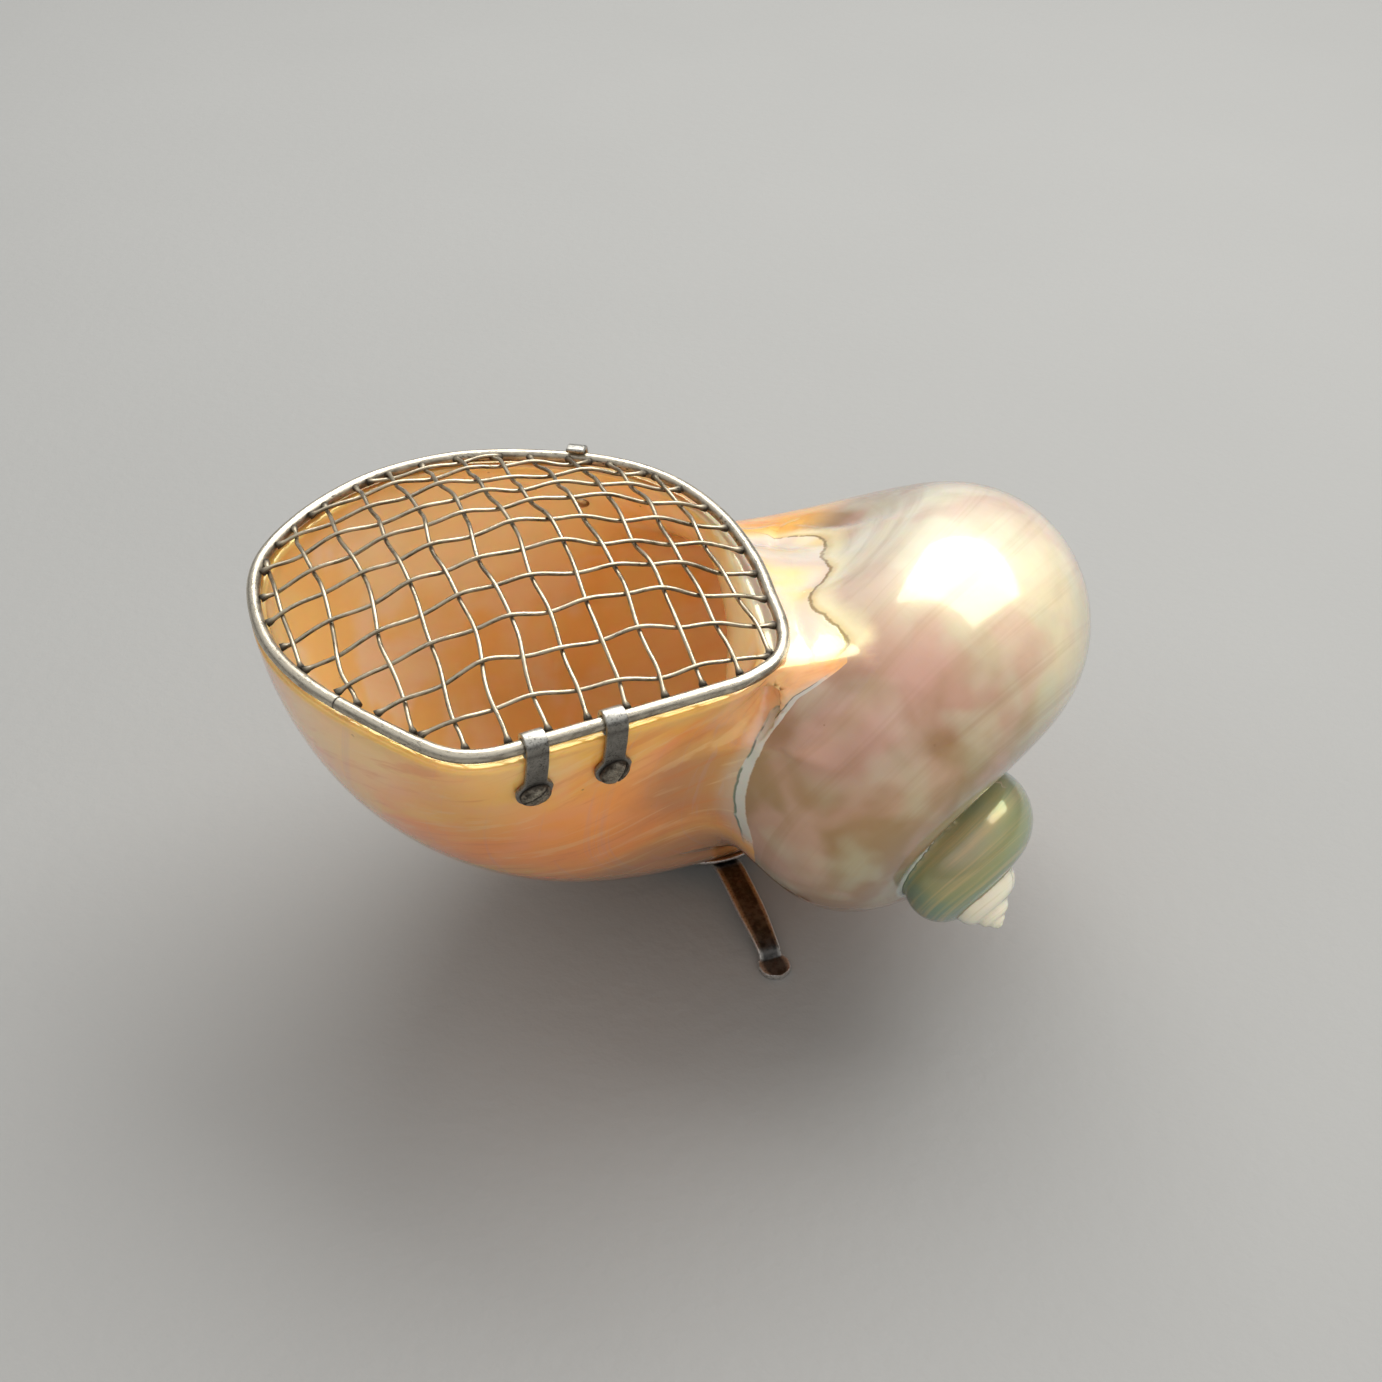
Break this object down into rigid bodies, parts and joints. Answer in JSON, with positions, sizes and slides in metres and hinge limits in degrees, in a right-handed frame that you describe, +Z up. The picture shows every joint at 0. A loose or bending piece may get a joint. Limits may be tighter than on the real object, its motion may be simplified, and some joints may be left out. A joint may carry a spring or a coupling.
{
  "type": "shell trinket box",
  "caption": "Polished turban-shell trinket box on a strap-legged stand, with a domed woven wire lid on two rolled strap hinges and a spring clip.",
  "frame": {"origin": "on the surface that the toes stand on, under the middle of the whole box", "axes": "+Z up, +X the long way from the mouth to the spire, -Y the hinge side of the lid"},
  "size_m": [0.137, 0.107, 0.0889],
  "materials": {
    "nacre": "polished mother of pearl, orange and cream with a green and pink sheen",
    "hoop": "worn silver-plated wire",
    "mesh": "tarnished woven wire",
    "strap": "dull grey strap metal",
    "leg": "dark tarnished strap metal with bright edges"
  },
  "bodies": {
    "base": {"shell": "nacre", "hinge_left_strap": "strap", "hinge_left_screw": "strap", "hinge_left_nut": "strap", "hinge_right_strap": "strap", "hinge_right_screw": "strap", "hinge_right_nut": "strap", "catch_foot": "strap", "catch_screw": "strap", "catch_nut": "strap", "stand_plate": "leg", "stand_bolt": "strap", "stand_nut": "strap", "leg_front": "leg", "leg_front_rivet": "leg", "leg_back": "leg", "leg_back_rivet": "leg", "leg_side": "leg", "leg_side_rivet": "leg"},
    "lid": {"hoop": "hoop", "warp_01": "mesh", "warp_02": "mesh", "warp_03": "mesh", "warp_04": "mesh", "warp_05": "mesh", "warp_06": "mesh", "warp_07": "mesh", "warp_08": "mesh", "warp_09": "mesh", "warp_10": "mesh", "warp_11": "mesh", "warp_12": "mesh", "weft_01": "mesh", "weft_02": "mesh", "weft_03": "mesh", "weft_04": "mesh", "weft_05": "mesh", "weft_06": "mesh", "weft_07": "mesh", "weft_08": "mesh", "weft_09": "mesh", "weft_10": "mesh", "weft_11": "mesh"},
    "clip": {"catch_clip": "strap"}
  },
  "joints": [
    {"name": "lid_hinge", "type": "hinge", "parent": "base", "child": "lid", "pos_m": [-0.02467, -0.05147, 0.07892], "axis": [0.9046, 0.4263, 0], "range_deg": [0, 230]},
    {"name": "clip_flex", "type": "hinge", "parent": "base", "child": "clip", "pos_m": [-0.01768, 0.03092, 0.07356], "axis": [-0.9806, 0.196, 0], "range_deg": [0, 25], "stiffness_Nm_per_rad": 0.2}
  ]
}
